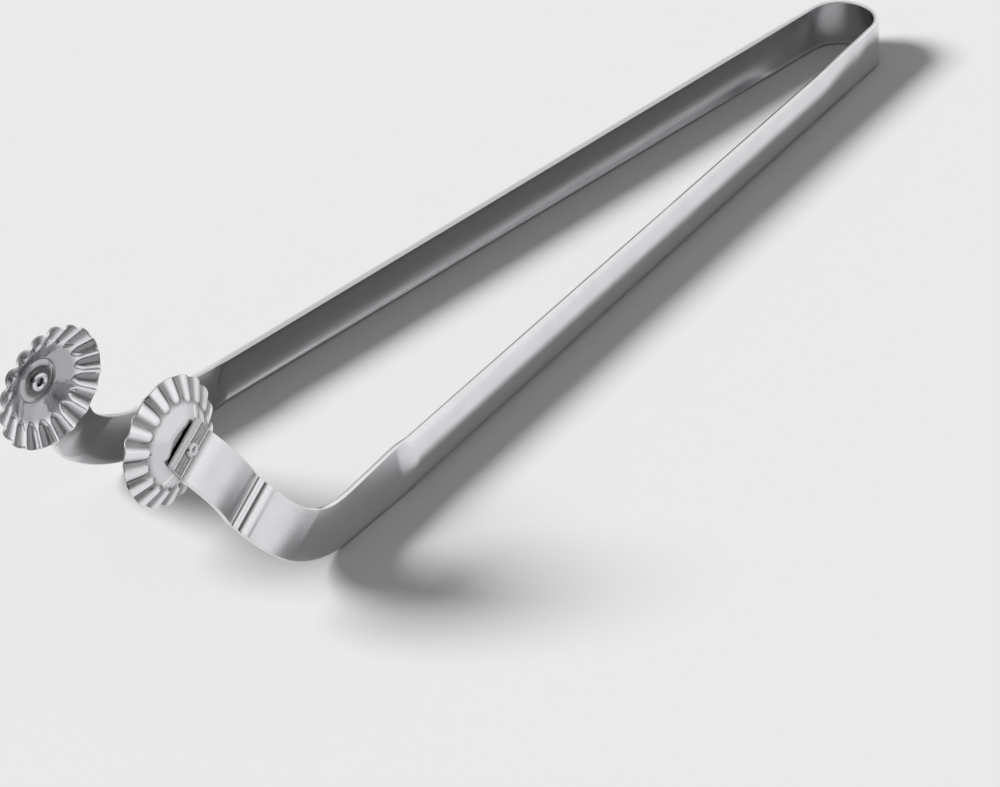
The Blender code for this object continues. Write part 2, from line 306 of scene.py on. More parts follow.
def tab_path(start):
    """The tab: flat, rounded at its corners and edges, and closed by a cap."""
    stations = walk(start, TAB_LENGTH - TAB_CORNER, TAB_PITCH)
    corner_start = stations[-1]
    for step in range(1, CORNER_STEPS + 1):
        angle = math.pi / 2 * step / CORNER_STEPS
        along = TAB_CORNER * math.sin(angle)
        narrow = TAB_CORNER * (1 - math.cos(angle)) * CORNER_SPREAD_SHARE
        if TAB_CORNER - along < SHEAR_ROUND:
            break
        stations.append(corner_start.copy(
            point=corner_start.point + corner_start.heading * along,
            width=corner_start.width - 2 * narrow,
            distance=corner_start.distance + along,
        ))
    last = stations[-1]
    left = TAB_CORNER - (last.distance - corner_start.distance)
    for step in range(SHEAR_STEPS + 1):
        angle = math.pi / 2 * step / SHEAR_STEPS
        along = left - SHEAR_ROUND + SHEAR_ROUND * math.sin(angle)
        rim = last.copy(
            point=last.point + last.heading * along, distance=last.distance + along
        )
        rim.inset = SHEAR_ROUND * (1 - math.cos(angle))
        stations.append(rim)
    cap = stations[-1].copy()
    cap.inset = SHEAR_ROUND + CAP_INSET
    stations.append(cap)
    for station in stations:
        back = cap.distance - station.distance
        station.relief = -TAB_BEVEL_DROP * max(1 - back / TAB_BEVEL, 0)
        station.press(back, TAB_MARKS)
    return stations


def bow_path():
    """The left half of the bow, from its middle."""
    apex = Station(
        Vector((BOW_RADIUS, 0, ARM_WIDTH / 2)), Vector((0, -1, 0)), Vector((0, 0, 1)), ARM_WIDTH,
        BOW_CROWN,
    )
    quarter = math.pi / 2 - ARM_ANGLE
    return [apex] + walk(apex, BOW_RADIUS * quarter, BOW_PITCH, fold=quarter)


def arm_path(start):
    """The left arm with its head, up to the tab's end."""
    crowned = ARM_LENGTH - CROWN_START - CROWN_FADE_IN - CROWN_FADE_OUT - CROWN_SETBACK
    stations = [start]

    def go(*stretch, **turns):
        stations.extend(walk(stations[-1], *stretch, **turns))

    go(CROWN_START, NEAR_BOW_PITCH, crown=NEAR_BOW_CROWN)
    go(CROWN_FADE_IN, CROWN_PITCH, crown=CROWN_ANGLE)
    go(crowned, ARM_PITCH, lean=ARM_LEAN)
    go(CROWN_FADE_OUT, CROWN_END_PITCH, crown=0.0)
    go(CROWN_SETBACK - ELBOW_REACH, CROWN_PITCH, lean=-ARM_LEAN)
    stations.extend(elbow_path(stations[-1]))
    go(JOGGLE_LENGTH, CREASE_PITCH, fold=-JOGGLE_FOLD)
    go(CURVE_LENGTH, CURVE_PITCH, fold=CURVE_FOLD)
    go(CREASE_LENGTH, CREASE_PITCH, fold=-CREASE_FOLD)
    stations.extend(tab_path(stations[-1]))
    return stations


def section(station):
    """The closed loop of a section: the outer face, an edge, the inner face, the other edge."""
    half_width = station.width / 2 - station.inset
    half_height = THICKNESS / 2 - station.inset
    radius = max(EDGE_ROUND - station.inset, LEAST_ROUND)
    flat = half_width - radius
    outer, inner = half_height + station.relief, -half_height
    edge = []
    for step in range(1, ROUND_STEPS + 1):
        angle = math.pi / 2 * step / ROUND_STEPS
        edge.append((flat + radius * math.sin(angle), outer - radius + radius * math.cos(angle)))
    for step in range(ROUND_STEPS):
        angle = math.pi / 2 * step / ROUND_STEPS
        edge.append((flat + radius * math.cos(angle), inner + radius - radius * math.sin(angle)))
    loop = [(share * flat, outer) for share in FACE_SHARES] + edge
    loop += [(share * flat, inner) for share in reversed(FACE_SHARES)]
    loop += [(-reach, height) for reach, height in reversed(edge)]
    return [station.at(reach, height) for reach, height in loop]


# How bright the painted shade, the painted highlights, the brushing, the stains and the clouds
# are, as shares of the steel's own colour
HOLLOW_PAINTED_SHADE_SHARE = 0.35
INSIDE_PAINTED_SHADE_SHARE = 0.60
TAB_PAINTED_SHADE_SHARE = 0.50
PAINTED_SHADE_SHARE = 0.30
GROOVE_PAINTED_SHADE_SHARE = 0.12
PAINTED_HIGHLIGHT_SHARE = 1.15
BRUSHED_SHARE = 0.80
STAINED_SHARE = 0.85
CLOUD_SHARES = (0.90, 1.08)

# The colour of worn edges, which also paints a highlight on them, and how far the painted shade of
# the hollows reaches from a corner
WORN_AND_HIGHLIGHT_COLOUR = (0.93, 0.93, 0.93, 1)
PAINTED_SHADE_REACH = 0.0030

# How much of each shows: a value's range, and the amounts at its two ends
BRUSHED_AMOUNT = (0.35, 0.65, 0.0, 0.12)
STAINED_AMOUNT = (0.3, 0.7, 0.0, 0.25)
UNSHADED_AMOUNT = (0.20, 0.92, 0.0, 1.0)
WORN_AND_HIGHLIGHT_AMOUNT = (0.53, 0.62, 0.0, 1.0)
GROOVE_PAINTED_SHADE_AMOUNT = (0.0, 1.0, 0.0, 1.0)
PAINTED_HIGHLIGHT_AMOUNT = (0.0, -1.0, 0.0, 1.0)
INSIDE_PAINTED_SHADE_AMOUNT = 0.85

# Where the strap's inner face, which carries painted shade, starts and ends around it, and where
# its tab starts along it
INSIDE_START = (0.0180, 0.0190)
INSIDE_END = (0.0350, 0.0360)
TAB_START = (
    BOW_RADIUS * (math.pi / 2 - ARM_ANGLE) + FLEX_GAP + ARM_LENGTH + FOLD_SETBACK
    + NECK_FOLD_LENGTH + NECK_LENGTH + JOGGLE_LENGTH + CURVE_LENGTH + CREASE_LENGTH
)
BEVEL_START = TAB_START + TAB_LENGTH - TAB_BEVEL
PRESSED_AMOUNT = (TAB_START - 0.0026, TAB_START - 0.0002, 0.0, 1.0)
# How strong the tab's painted shade is, before its bevel and on it
TAB_PAINTED_SHADE_AMOUNT = (BEVEL_START - 0.0003, BEVEL_START + 0.0002, 0.9, 0.7)

# Streaks: how many per metre along the surface and around it, and their detail
BRUSHING = (30, 1500, 4)
GRAIN = (2600, 2600, 2)
PRESS_LINES = (800, 25, 2)
PRESS_DENTS = (700, 450, 3)
TURNING = (12, 2500, 3)

# Spots: how many per metre, and their detail
CLOUDS = (130, 5)
SMUDGES = (45, 3)
DENTS = (420, 2)

# Bumps: strength and depth
BRUSHING_BUMP = (0.05, 0.0002)
GRAIN_BUMP = (0.06, 0.0001)
PRESS_LINE_BUMP = (0.7, 0.0006)
PRESS_DENT_BUMP = (0.5, 0.0005)
TURNING_BUMP = (0.06, 0.0001)
DENT_BUMP = (0.35, 0.00018)

# Roughness: the texture's range, and the roughness or what is added to it at its two ends
BRUSHED_ROUGHNESS = (0.3, 0.7, 0.13, 0.21)
SMUDGED_ROUGHNESS = (0.35, 0.7, 0.0, 0.05)
PRESSED_ROUGHNESS = 0.08
BRIGHT_ROUGHNESS = (0.3, 0.7, 0.07, 0.17)


class Nodes:
    """A node tree, with short names for the nodes that it is built from."""

    def __init__(self, tree):
        self.nodes, self.links = tree.nodes, tree.links

    def give(self, socket, value):
        if isinstance(value, bpy.types.NodeSocket):
            self.links.new(value, socket)
        else:
            socket.default_value = value

    def computed(self, operation, first, second):
        node = self.nodes.new("ShaderNodeMath")
        node.operation = operation
        self.give(node.inputs[0], first)
        self.give(node.inputs[1], second)
        return node.outputs["Value"]

    def ranged(self, value, low, high, first, last, interpolation="LINEAR"):
        """The value's range from low to high, mapped to first and last."""
        node = self.nodes.new("ShaderNodeMapRange")
        node.interpolation_type = interpolation
        for name, number in zip(
            ("Value", "From Min", "From Max", "To Min", "To Max"), (value, low, high, first, last)
        ):
            self.give(node.inputs[name], number)
        return node.outputs["Result"]


class Steel(Nodes):
    """A steel material, patterned along its surface and in space."""

    def __init__(self, name):
        self.material = bpy.data.materials.new(name)
        self.material.use_nodes = True
        super().__init__(self.material.node_tree)
        self.shader = self.nodes["Principled BSDF"]
        self.shader.inputs["Metallic"].default_value = 1.0
        surface = self.nodes.new("ShaderNodeUVMap")
        surface.uv_map = "along"
        self.surface = surface.outputs["UV"]
        split = self.nodes.new("ShaderNodeSeparateXYZ")
        self.links.new(self.surface, split.inputs["Vector"])
        self.along, self.around = split.outputs["X"], split.outputs["Y"]
        self.place = self.nodes.new("ShaderNodeTexCoord").outputs["Object"]
        self.normal = None

    def noise(self, place, scale, detail, dimensions="3D"):
        texture = self.nodes.new("ShaderNodeTexNoise")
        texture.noise_dimensions = dimensions
        texture.inputs["Scale"].default_value = scale
        texture.inputs["Detail"].default_value = detail
        self.links.new(place, texture.inputs["Vector"])
        return texture.outputs["Fac"]

    def spots(self, scale, detail):
        """Round noise in space."""
        return self.noise(self.place, scale, detail)

    def streaks(self, along, around, detail):
        """Noise on the surface, stretched along it or around it."""
        stretch = self.nodes.new("ShaderNodeMapping")
        stretch.inputs["Scale"].default_value = (along, around, 1)
        self.links.new(self.surface, stretch.inputs["Vector"])
        return self.noise(stretch.outputs["Vector"], 1.0, detail, "2D")

    def painted_light(self):
        """The painted light, shade and highlight, that the mesh stores at its vertices."""
        node = self.nodes.new("ShaderNodeAttribute")
        node.attribute_name = "painted_light"
        return node.outputs["Fac"]

    def mixed(self, share, first, second):
        node = self.nodes.new("ShaderNodeMix")
        node.data_type = "RGBA"
        self.give(node.inputs["Factor"], share)
        self.give(node.inputs["A"], first)
        self.give(node.inputs["B"], second)
        return node.outputs["Result"]

    def bump(self, height, strength, distance):
        """Add a bump on top of the ones before it."""
        node = self.nodes.new("ShaderNodeBump")
        node.inputs["Distance"].default_value = distance
        self.give(node.inputs["Strength"], strength)
        self.links.new(height, node.inputs["Height"])
        if self.normal:
            self.links.new(self.normal, node.inputs["Normal"])
        self.normal = node.outputs["Normal"]

    def colour(self, colour, layers=(), painted_light_mask=None):
        """Clouded steel under its layers of brushing and painted light, with painted shade in its
        hollows and worn edges that are also a painted highlight.
        """
        def shade(share):
            return (*[min(value * share, 1) for value in colour], 1)

        cloud = self.spots(*CLOUDS)
        # Painted shade and painted highlight, as the mesh stores them, for the discs and rivets
        if painted_light_mask:
            seen = self.mixed(painted_light_mask, shade(PAINTED_SHADE_SHARE), shade(PAINTED_HIGHLIGHT_SHARE))
            seen = self.mixed(self.ranged(cloud, *STAINED_AMOUNT), seen, shade(STAINED_SHARE))
        else:
            seen = self.mixed(cloud, *[shade(share) for share in CLOUD_SHARES])
        for share, dullness in layers:
            seen = self.mixed(share, seen, shade(dullness))
        # Painted shade in hollows and creases, found by ambient occlusion
        occlusion = self.nodes.new("ShaderNodeAmbientOcclusion")
        occlusion.samples = 8
        occlusion.inputs["Distance"].default_value = PAINTED_SHADE_REACH
        unshaded_share = self.ranged(occlusion.outputs["AO"], *UNSHADED_AMOUNT)
        seen = self.mixed(unshaded_share, shade(HOLLOW_PAINTED_SHADE_SHARE), seen)
        # Worn edges, brightened where the surface is sharply convex, which also paints a highlight
        # on them
        edge = self.nodes.new("ShaderNodeNewGeometry")
        worn_and_highlight = self.ranged(edge.outputs["Pointiness"], *WORN_AND_HIGHLIGHT_AMOUNT)
        return self.mixed(worn_and_highlight, seen, WORN_AND_HIGHLIGHT_COLOUR)

    def finished(self, colour, roughness):
        """The material, once its colour, its bumps and its roughness are joined to its shader."""
        for name, value in (
            ("Base Color", colour), ("Normal", self.normal), ("Roughness", roughness)
        ):
            self.links.new(value, self.shader.inputs[name])
        return self.material


def strap_steel(name, colour):
    """Satin steel, brushed along the strap, with painted shade on its inner face, its pressed tab
    and its grooves, painted highlights on its ridges, and rough where the tab is pressed.
    """
    steel = Steel(name)
    brushed = steel.streaks(*BRUSHING)
    distance = steel.computed("ABSOLUTE", steel.along, 0.0)
    # Painted shade on the strap's inner face
    inside = steel.computed(
        "MULTIPLY", steel.ranged(steel.around, *INSIDE_START, 0.0, 1.0),
        steel.ranged(steel.around, *INSIDE_END, 1.0, 0.0),
    )
    pressed = steel.ranged(distance, *PRESSED_AMOUNT)
    # Painted shade on the pressed tab, a little lighter on its bevel
    tab_painted_shade = steel.computed("MULTIPLY", pressed, steel.ranged(distance, *TAB_PAINTED_SHADE_AMOUNT))
    painted_light = steel.painted_light()
    seen = steel.colour(colour, (
        (steel.ranged(brushed, *BRUSHED_AMOUNT), BRUSHED_SHARE),
        (steel.computed("MULTIPLY", inside, INSIDE_PAINTED_SHADE_AMOUNT), INSIDE_PAINTED_SHADE_SHARE),
        (tab_painted_shade, TAB_PAINTED_SHADE_SHARE),
        # Painted shade in the pressed grooves, then a painted highlight on their ridges
        (steel.ranged(painted_light, *GROOVE_PAINTED_SHADE_AMOUNT), GROOVE_PAINTED_SHADE_SHARE),
        (steel.ranged(painted_light, *PAINTED_HIGHLIGHT_AMOUNT), PAINTED_HIGHLIGHT_SHARE),
    ))
    steel.bump(brushed, *BRUSHING_BUMP)
    steel.bump(steel.streaks(*GRAIN), *GRAIN_BUMP)
    for streaks, (strength, depth) in (
        (PRESS_LINES, PRESS_LINE_BUMP), (PRESS_DENTS, PRESS_DENT_BUMP)
    ):
        local = steel.computed("MULTIPLY", pressed, strength)
        steel.bump(steel.streaks(*streaks), local, depth)
    rough = steel.ranged(brushed, *BRUSHED_ROUGHNESS)
    smudged = steel.ranged(steel.spots(*SMUDGES), *SMUDGED_ROUGHNESS)
    rough = steel.computed("ADD", rough, smudged)
    rough = steel.computed(
        "ADD", rough, steel.computed("MULTIPLY", pressed, PRESSED_ROUGHNESS)
    )
    return steel.finished(seen, rough)


def bright_steel(name, colour):
    """Bright steel with faint turning marks and small dents, in the painted shade and painted
    highlights that its mesh stores.
    """
    steel = Steel(name)
    dents = steel.spots(*DENTS)
    seen = steel.colour(colour, painted_light_mask=steel.painted_light())
    steel.bump(steel.streaks(*TURNING), *TURNING_BUMP)
    steel.bump(dents, *DENT_BUMP)
    return steel.finished(seen, steel.ranged(dents, *BRIGHT_ROUGHNESS))


STRAP = strap_steel("strap_steel", (0.80, 0.80, 0.82))
BRIGHT = bright_steel("disc_steel", (0.74, 0.74, 0.76))
POLISHED = bright_steel("rivet_steel", (0.72, 0.72, 0.74))


class Surface:
    """Vertices with their surface coordinates and painted light, and the faces between them."""

    def __init__(self, verts=(), uvs=(), painted_lights=()):
        self.verts, self.uvs, self.painted_lights = list(verts), list(uvs), list(painted_lights)
        self.faces = []

    def add(self, point, uv, painted_light):
        self.verts.append(point)
        self.uvs.append(uv)
        self.painted_lights.append(painted_light)

    def piece(self, name, material, axis, period, normals=None):
        """A smooth object; that axis of the surface coordinates closes after a period."""
        mesh = bpy.data.meshes.new(name)
        mesh.from_pydata(self.verts, [], self.faces)
        mesh.materials.append(material)
        mesh.shade_smooth()
        layer = mesh.uv_layers.new(name="along")
        for face in mesh.polygons:
            own = [Vector(self.uvs[vertex]) for vertex in face.vertices]
            high = max(uv[axis] for uv in own)
            for index, uv in zip(face.loop_indices, own):
                if high - uv[axis] > period / 2:
                    uv[axis] += period
                layer.data[index].uv = uv
        layer = mesh.attributes.new("painted_light", "FLOAT", "POINT")
        for vertex, painted_light in enumerate(self.painted_lights):
            layer.data[vertex].value = painted_light
        if normals:
            mesh.normals_split_custom_set_from_vertices(normals)
        piece = bpy.data.objects.new(name, mesh)
        bpy.context.scene.collection.objects.link(piece)
        return piece


def tube(stations):
    """The strap's open surface, the number of points in a section and the length around it."""
    surface = Surface()
    for station in stations:
        loop = section(station)
        around = 0.0
        for index, point in enumerate(loop):
            if index:
                around += (point - loop[index - 1]).length
            painted_light = station.painted_light if index <= len(FACE_SHARES) else 0.0
            surface.add(point, (station.distance, around), painted_light)
    count = len(loop)
    girth = around + (loop[0] - loop[-1]).length
    for row in range(len(stations) - 1):
        for index in range(count):
            after = (index + 1) % count
            a, b = row * count + index, row * count + after
            surface.faces.append((a, b, b + count, a + count))
    return surface, count, girth


def make_straps():
    """The strap's two pieces, which meet in the middle of the bow, and the left one's sections."""
    half_bow = bow_path()
    bow_end = half_bow[-1]
    flex = bow_end.point + bow_end.heading * FLEX_GAP / 2
    offset = JOINT_PLACES["left_arm_flex"] - flex
    gap_end = walk(bow_end, FLEX_GAP, FLEX_GAP)[-1]
    left = [station.moved(offset) for station in half_bow + arm_path(gap_end)]
    whole = [station.mirrored() for station in reversed(left[1:])] + left
    surface, count, girth = tube(whole)

    # Both pieces take their normals from the whole strap, so that no seam shows between them
    probe = bpy.data.meshes.new("probe")
    probe.from_pydata(surface.verts, [], surface.faces)
    probe.update()
    normals = [vector.vector.copy() for vector in probe.vertex_normals]
    bpy.data.meshes.remove(probe)
    normals[:count] = [left[-1].heading * FLIP] * count
    normals[-count:] = [left[-1].heading] * count

    half = len(left) - 1
    pieces = []
    for name, first, last in (("right_strap", 0, half), ("left_strap", half, len(whole) - 1)):
        low, high = first * count, (last + 1) * count
        own = Surface(
            surface.verts[low:high], surface.uvs[low:high], surface.painted_lights[low:high]
        )
        own.faces = [
            tuple(index - low for index in face) for face in surface.faces
            if min(face) >= low and max(face) < high
        ]
        if name == "left_strap":
            own.faces.append(tuple(range((last - first) * count, (last - first + 1) * count)))
        else:
            own.faces.append(tuple(reversed(range(count))))
        pieces.append(own.piece(name, STRAP, 1, girth, normals[low:high]))
    return pieces, left


# Heights on the rivet's axis, from the middle of the tab outward
TAB_FACE = THICKNESS / 2
CREST_HEIGHT = -TAB_FACE - SEAT_GAP - DISC_SHEET / 2
HUB_HEIGHT = CREST_HEIGHT - HUB_RECESS
INNER_HEAD_SEAT = HUB_HEIGHT - DISC_SHEET / 2 - SEAT_GAP

# Fine shape of the discs
BORE_RADIUS = JOURNAL_RADIUS + SHANK_GAP
CONE_SLOPE = DISC_DEPTH / (DISC_RADIUS - CREST_RADIUS)
CONE_ANGLE = math.atan(CONE_SLOPE)
STEP_START = 0.0050
STEP_END = 0.0076
OUTER_HUB_LIFT = 0.00040
CREST_ROUND = 0.0007
LOBE_MARGIN = 0.004
LOBE_END_ROUND = 0.0021
LOBE_END_STRAY = 0.00025
LOBE_RISE = 0.0018
LOBE_FIRST_SHARE = 0.62
LOBE_MOST_SHARE = 1.05
LOBE_HEIGHT_SHARE = 1.28
VALLEY_SHARPNESS = 0.6
VALLEY_DEPTH_SHARE = 0.55
VALLEY_ROUND_SHARE = 0.15
RIM_BULGE_SHARE = 0.6

# Unevenness from lobe to lobe: share of the height, turn per lobe and phase of each wave
LOBE_WAVES = ((0.09, 2.3, 0.7), (0.06, 5.1, 0.0))
LOBE_END_TURN = 3.7
LOBE_END_PHASE = 1.1

# Spacing of the discs' points: how many along each stretch of radius
POINTS_PER_LOBE = 20
RIM_STEPS = 6
HUB_END = STEP_END + 0.0004
LOBES_START = FLUTE_START - 0.0008
LOBES_RISEN = 0.0158
LAST_RADIUS = DISC_RADIUS - 0.0001
RADIUS_SPANS = (
    (BORE_RADIUS, STEP_START, 4), (STEP_START, HUB_END, 9), (HUB_END, LOBES_START, 7),
    (LOBES_START, LOBES_RISEN, 16), (LOBES_RISEN, LAST_RADIUS, 8),
)
PROBE_STEP = 0.00002
RIM_GIRTH = 0.001

# Painted light on the discs, from 0 for painted shade to 1 for painted highlight; the cup side is
# painted darker than the outside
OUTER_PLAIN = 0.74
INNER_PLAIN = 0.32
OUTER_CREST_POWER = 5
FLUTED_LEAD = 0.0004
FLUTED_FADE = 0.0022
# Painted shade on the hub and a painted highlight on its rounded step
HUB_PAINTED_SHADE = 0.22
HUB_STEP_PAINTED_HIGHLIGHT = 0.9


def soft_ramp(value, rounding):
    """Zero below zero and value above it, rounded off between."""
    return (value + math.sqrt(value * value + rounding * rounding)) / 2


def hub_share(radius):
    """One on the hub, zero outside its rounded step."""
    return 1 - smoothstep((radius - STEP_START) / (STEP_END - STEP_START))


def dish_height(radius):
    """Height of the middle of the disc's sheet without its lobes."""
    cone = CONE_SLOPE * soft_ramp(radius - CREST_RADIUS, CREST_ROUND)
    cone -= CONE_SLOPE * soft_ramp(DISC_RADIUS - CREST_RADIUS, CREST_ROUND) - DISC_DEPTH
    return CREST_HEIGHT - cone - HUB_RECESS * hub_share(radius)


def lobe_share(radius, angle):
    """One on a lobe's crest, zero between the lobes and inside their rounded ends."""
    turns = FLUTES * angle / math.tau
    lobe = math.floor(turns)
    wave = (1 - math.cos(math.tau * turns)) / 2
    start = FLUTE_START + LOBE_END_ROUND * (1 - wave) ** 2
    start += LOBE_END_STRAY * math.sin(LOBE_END_TURN * lobe + LOBE_END_PHASE) * wave
    rise = smoothstep((radius - start) / LOBE_RISE)
    return rise * wave * (1 + VALLEY_SHARPNESS) / (wave + VALLEY_SHARPNESS)


def lobe_press(radius, angle):
    """How far the lobes are pressed outward from the cone; each is a little uneven."""
    lobe = math.floor(FLUTES * angle / math.tau)
    along = (radius - FLUTE_START) / (DISC_RADIUS - FLUTE_START)
    uneven = 1
    for share, turn, phase in LOBE_WAVES:
        uneven += share * math.sin(turn * lobe + phase)
    growth = LOBE_FIRST_SHARE
    growth += (1 - LOBE_FIRST_SHARE) * min(max(along, 0), LOBE_MOST_SHARE)
    height = LOBE_HEIGHT_SHARE * uneven * growth * lobe_share(radius, angle)
    return FLUTE_HEIGHT * (height - VALLEY_DEPTH_SHARE * soft_ramp(along, VALLEY_ROUND_SHARE))


def disc_painted_light(radius, angle, outer):
    """Painted highlight on the lobes' crests outside and on the ridges between them inside,
    painted shade elsewhere, deeper inside and on the hub, and a painted highlight on the hub's
    step.
    """
    lobe = lobe_share(radius, angle)
    fluted = smoothstep((radius - FLUTE_START + FLUTED_LEAD) / FLUTED_FADE)
    ridge = smoothstep(lobe) ** OUTER_CREST_POWER if outer else smoothstep(1 - lobe)
    hub = hub_share(radius)
    plain = OUTER_PLAIN if outer else INNER_PLAIN
    plain -= HUB_PAINTED_SHADE * hub
    plain += HUB_STEP_PAINTED_HIGHLIGHT * hub * (1 - hub)
    return plain + (ridge - plain) * fluted


def disc_point(radius, angle):
    """A point in the middle of the disc's sheet."""
    press = lobe_press(radius, angle) if radius > FLUTE_START - LOBE_MARGIN else 0.0
    reach = radius + press * math.sin(CONE_ANGLE)
    height = dish_height(radius) + press * math.cos(CONE_ANGLE)
    return Vector((reach * math.cos(angle), reach * math.sin(angle), height))


def sheet_at(radius, angle):
    """A point in the middle of the sheet, the sheet's normal and its direction outward."""
    along = disc_point(radius + PROBE_STEP, angle) - disc_point(radius - PROBE_STEP, angle)
    turn = PROBE_STEP / radius
    across = disc_point(radius, angle + turn) - disc_point(radius, angle - turn)
    return disc_point(radius, angle), along.cross(across).normalized(), along.normalized()


def build_disc(name, place):
    """A pressed dish of sheet steel: its outer face, a rounded rim and its inner face."""
    radii = [BORE_RADIUS]
    for low, high, steps in RADIUS_SPANS:
        radii += [low + (high - low) * step / steps for step in range(1, steps + 1)]
    count = FLUTES * POINTS_PER_LOBE
    angles = [math.tau * (index + 0.5) / count for index in range(count)]
    half = DISC_SHEET / 2
    rings = [[sheet_at(radius, angle) for angle in angles] for radius in radii]
    rows = []
    for radius, ring in zip(radii, rings):
        lift = Vector((0, 0, OUTER_HUB_LIFT * hub_share(radius)))
        rows.append([point + normal * half + lift for point, normal, _ in ring])
    for turn in range(1, RIM_STEPS):
        angle = math.pi * turn / RIM_STEPS
        rows.append([
            point + normal * half * math.cos(angle)
            + out * half * math.sin(angle) * RIM_BULGE_SHARE
            for point, normal, out in rings[-1]
        ])
    for ring in reversed(rings):
        rows.append([point - normal * half for point, normal, _ in ring])

    surface = Surface()
    for position, row in enumerate(rows):
        outer = position < len(radii)
        for index, (point, angle) in enumerate(zip(row, angles)):
            radius = math.hypot(point.x, point.y)
            way = radius if outer else 2 * DISC_RADIUS + RIM_GIRTH - radius
            surface.add(place @ point, (index / count, way), disc_painted_light(radius, angle, outer))
    for row in range(len(rows)):
        after_row = (row + 1) % len(rows)
        for index in range(count):
            after = (index + 1) % count
            surface.faces.append((
                row * count + index, after_row * count + index,
                after_row * count + after, row * count + after,
            ))
    return surface.piece(name, BRIGHT, 0, 1.0)


# The rivets' profiles: radius, height and painted light; the outer head's heights are shares
SIDES = 48
# The upset head: painted shade in its middle and at its edge, a painted highlight on its ring
UPSET_HEAD = (
    (0, 0.70, 0.15), (0.0003, 0.71, 0.15), (0.0007, 0.76, 0.35), (0.0010, 0.90, 0.75),
    (0.0013, 0.98, 1.0), (0.0016, 1.0, 1.0), (0.0019, 0.93, 0.75), (0.0022, 0.72, 0.35),
    (0.00245, 0.38, 0.10), (0.00256, 0.15, 0.0), (OUTER_HEAD_RADIUS, 0, 0.0),
)
OUTER_GAP_SHARE = 0.3
OUTER_SEAT = TAB_FACE + SEAT_GAP * OUTER_GAP_SHARE
ROLL_RADIUS = 0.00095
ROLL_MIDDLE = INNER_HEAD_RADIUS - ROLL_RADIUS
ROLL_HEIGHT = INNER_HEAD_SEAT - INNER_HEAD_HEIGHT + ROLL_RADIUS
ROLL_STEPS = 14
# Painted light on the rolled end: a painted highlight round its crest
ROLL_PAINTED_LIGHT = 0.35
ROLL_PAINTED_HIGHLIGHT = 0.65
DIMPLE_RADIUS = ROLL_MIDDLE - ROLL_RADIUS
CHAMFER = 0.0002
SHANK = (
    (TENON_RADIUS, OUTER_SEAT, 0.1), (TENON_RADIUS, -TAB_FACE, 0.1),
    (JOURNAL_RADIUS, -TAB_FACE, 0.1), (JOURNAL_RADIUS, INNER_HEAD_SEAT + CHAMFER, 0.1),
    (INNER_HEAD_RADIUS - CHAMFER, INNER_HEAD_SEAT + CHAMFER, 0.3),
    (INNER_HEAD_RADIUS, INNER_HEAD_SEAT, 0.4),
)
# The dimple inside the rolled end, in painted shade
DIMPLE = (
    (DIMPLE_RADIUS - 0.00003, ROLL_HEIGHT + 0.0005, 0.2),
    (DIMPLE_RADIUS - 0.00008, ROLL_HEIGHT + 0.0010, 0.0),
    (DIMPLE_RADIUS * 0.5, ROLL_HEIGHT + 0.0012, 0.0), (0, ROLL_HEIGHT + 0.0012, 0.0),
)


def lathe(name, profile, place, material):
    """A turned piece whose profile starts and ends on its axis."""
    surface = Surface()
    surface.add(place @ Vector((0, 0, profile[0][1])), (0.0, 0.0), profile[0][2])
    for radius, height, painted_light in profile[1:-1]:
        for side in range(SIDES):
            angle = math.tau * side / SIDES
            point = Vector((radius * math.cos(angle), radius * math.sin(angle), height))
            surface.add(place @ point, (side / SIDES, radius + height), painted_light)
    surface.add(place @ Vector((0, 0, profile[-1][1])), (0.0, 0.0), profile[-1][2])
    last = len(surface.verts) - 1
    rings = len(profile) - 2
    for side in range(SIDES):
        after = (side + 1) % SIDES
        surface.faces.append((0, 1 + side, 1 + after))
        for ring in range(rings - 1):
            low, high = 1 + ring * SIDES, 1 + (ring + 1) * SIDES
            surface.faces.append((low + side, high + side, high + after, low + after))
        low = 1 + (rings - 1) * SIDES
        surface.faces.append((low + after, low + side, last))
    return surface.piece(name, material, 0, 1.0)


def build_rivet(name, place):
    """A shouldered rivet with a low upset head outside and a rolled end in the cup."""
    profile = [
        (radius, OUTER_SEAT + OUTER_HEAD_HEIGHT * rise, painted_light)
        for radius, rise, painted_light in UPSET_HEAD
    ]
    profile += SHANK
    for step in range(ROLL_STEPS + 1):
        angle = -math.pi * step / ROLL_STEPS
        profile.append((
            ROLL_MIDDLE + ROLL_RADIUS * math.cos(angle),
            ROLL_HEIGHT + ROLL_RADIUS * math.sin(angle),
            ROLL_PAINTED_LIGHT - ROLL_PAINTED_HIGHLIGHT * math.sin(angle),
        ))
    profile += DIMPLE
    return lathe(name, profile, place, POLISHED)


def axis_frames(station):
    """The rivets' frames on the left and right tabs, on the discs' joints, +Z outward."""
    frames = []
    for side, flip in (("left", Vector((1, 1, 1))), ("right", FLIP)):
        pivot = JOINT_PLACES[side + "_disc_spin"]
        up, out = station.heading * flip, -station.inward * flip
        place = Matrix((up.cross(out), up, out)).transposed().to_4x4()
        place.translation = pivot + out * (station.point * flip - pivot).dot(out)
        frames.append(place)
    return frames


def main():
    (right_strap, left_strap), left = make_straps()
    for piece, body, node in (
        (left_strap, "left_half", "left_arm"), (right_strap, "right_half", "right_arm")
    ):
        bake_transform(piece)
        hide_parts(node, "spring_bow")
    for side, place in zip(("left", "right"), axis_frames(left[-1])):
        disc = build_disc(side + "_fluted_disc", place)
        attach(disc, side + "_grip")
        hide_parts(side + "_disc")
        rivet = build_rivet(side + "_shouldered_rivet", place)
        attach(rivet, side + "_half")
        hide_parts(side + "_rivet")


main()


# Brightness of the studio's surroundings by the sine of the elevation
SURROUNDINGS = ((-1.0, 0.85), (0.0, 0.92), (0.1, 0.98), (0.3, 1.0), (1.0, 1.0))

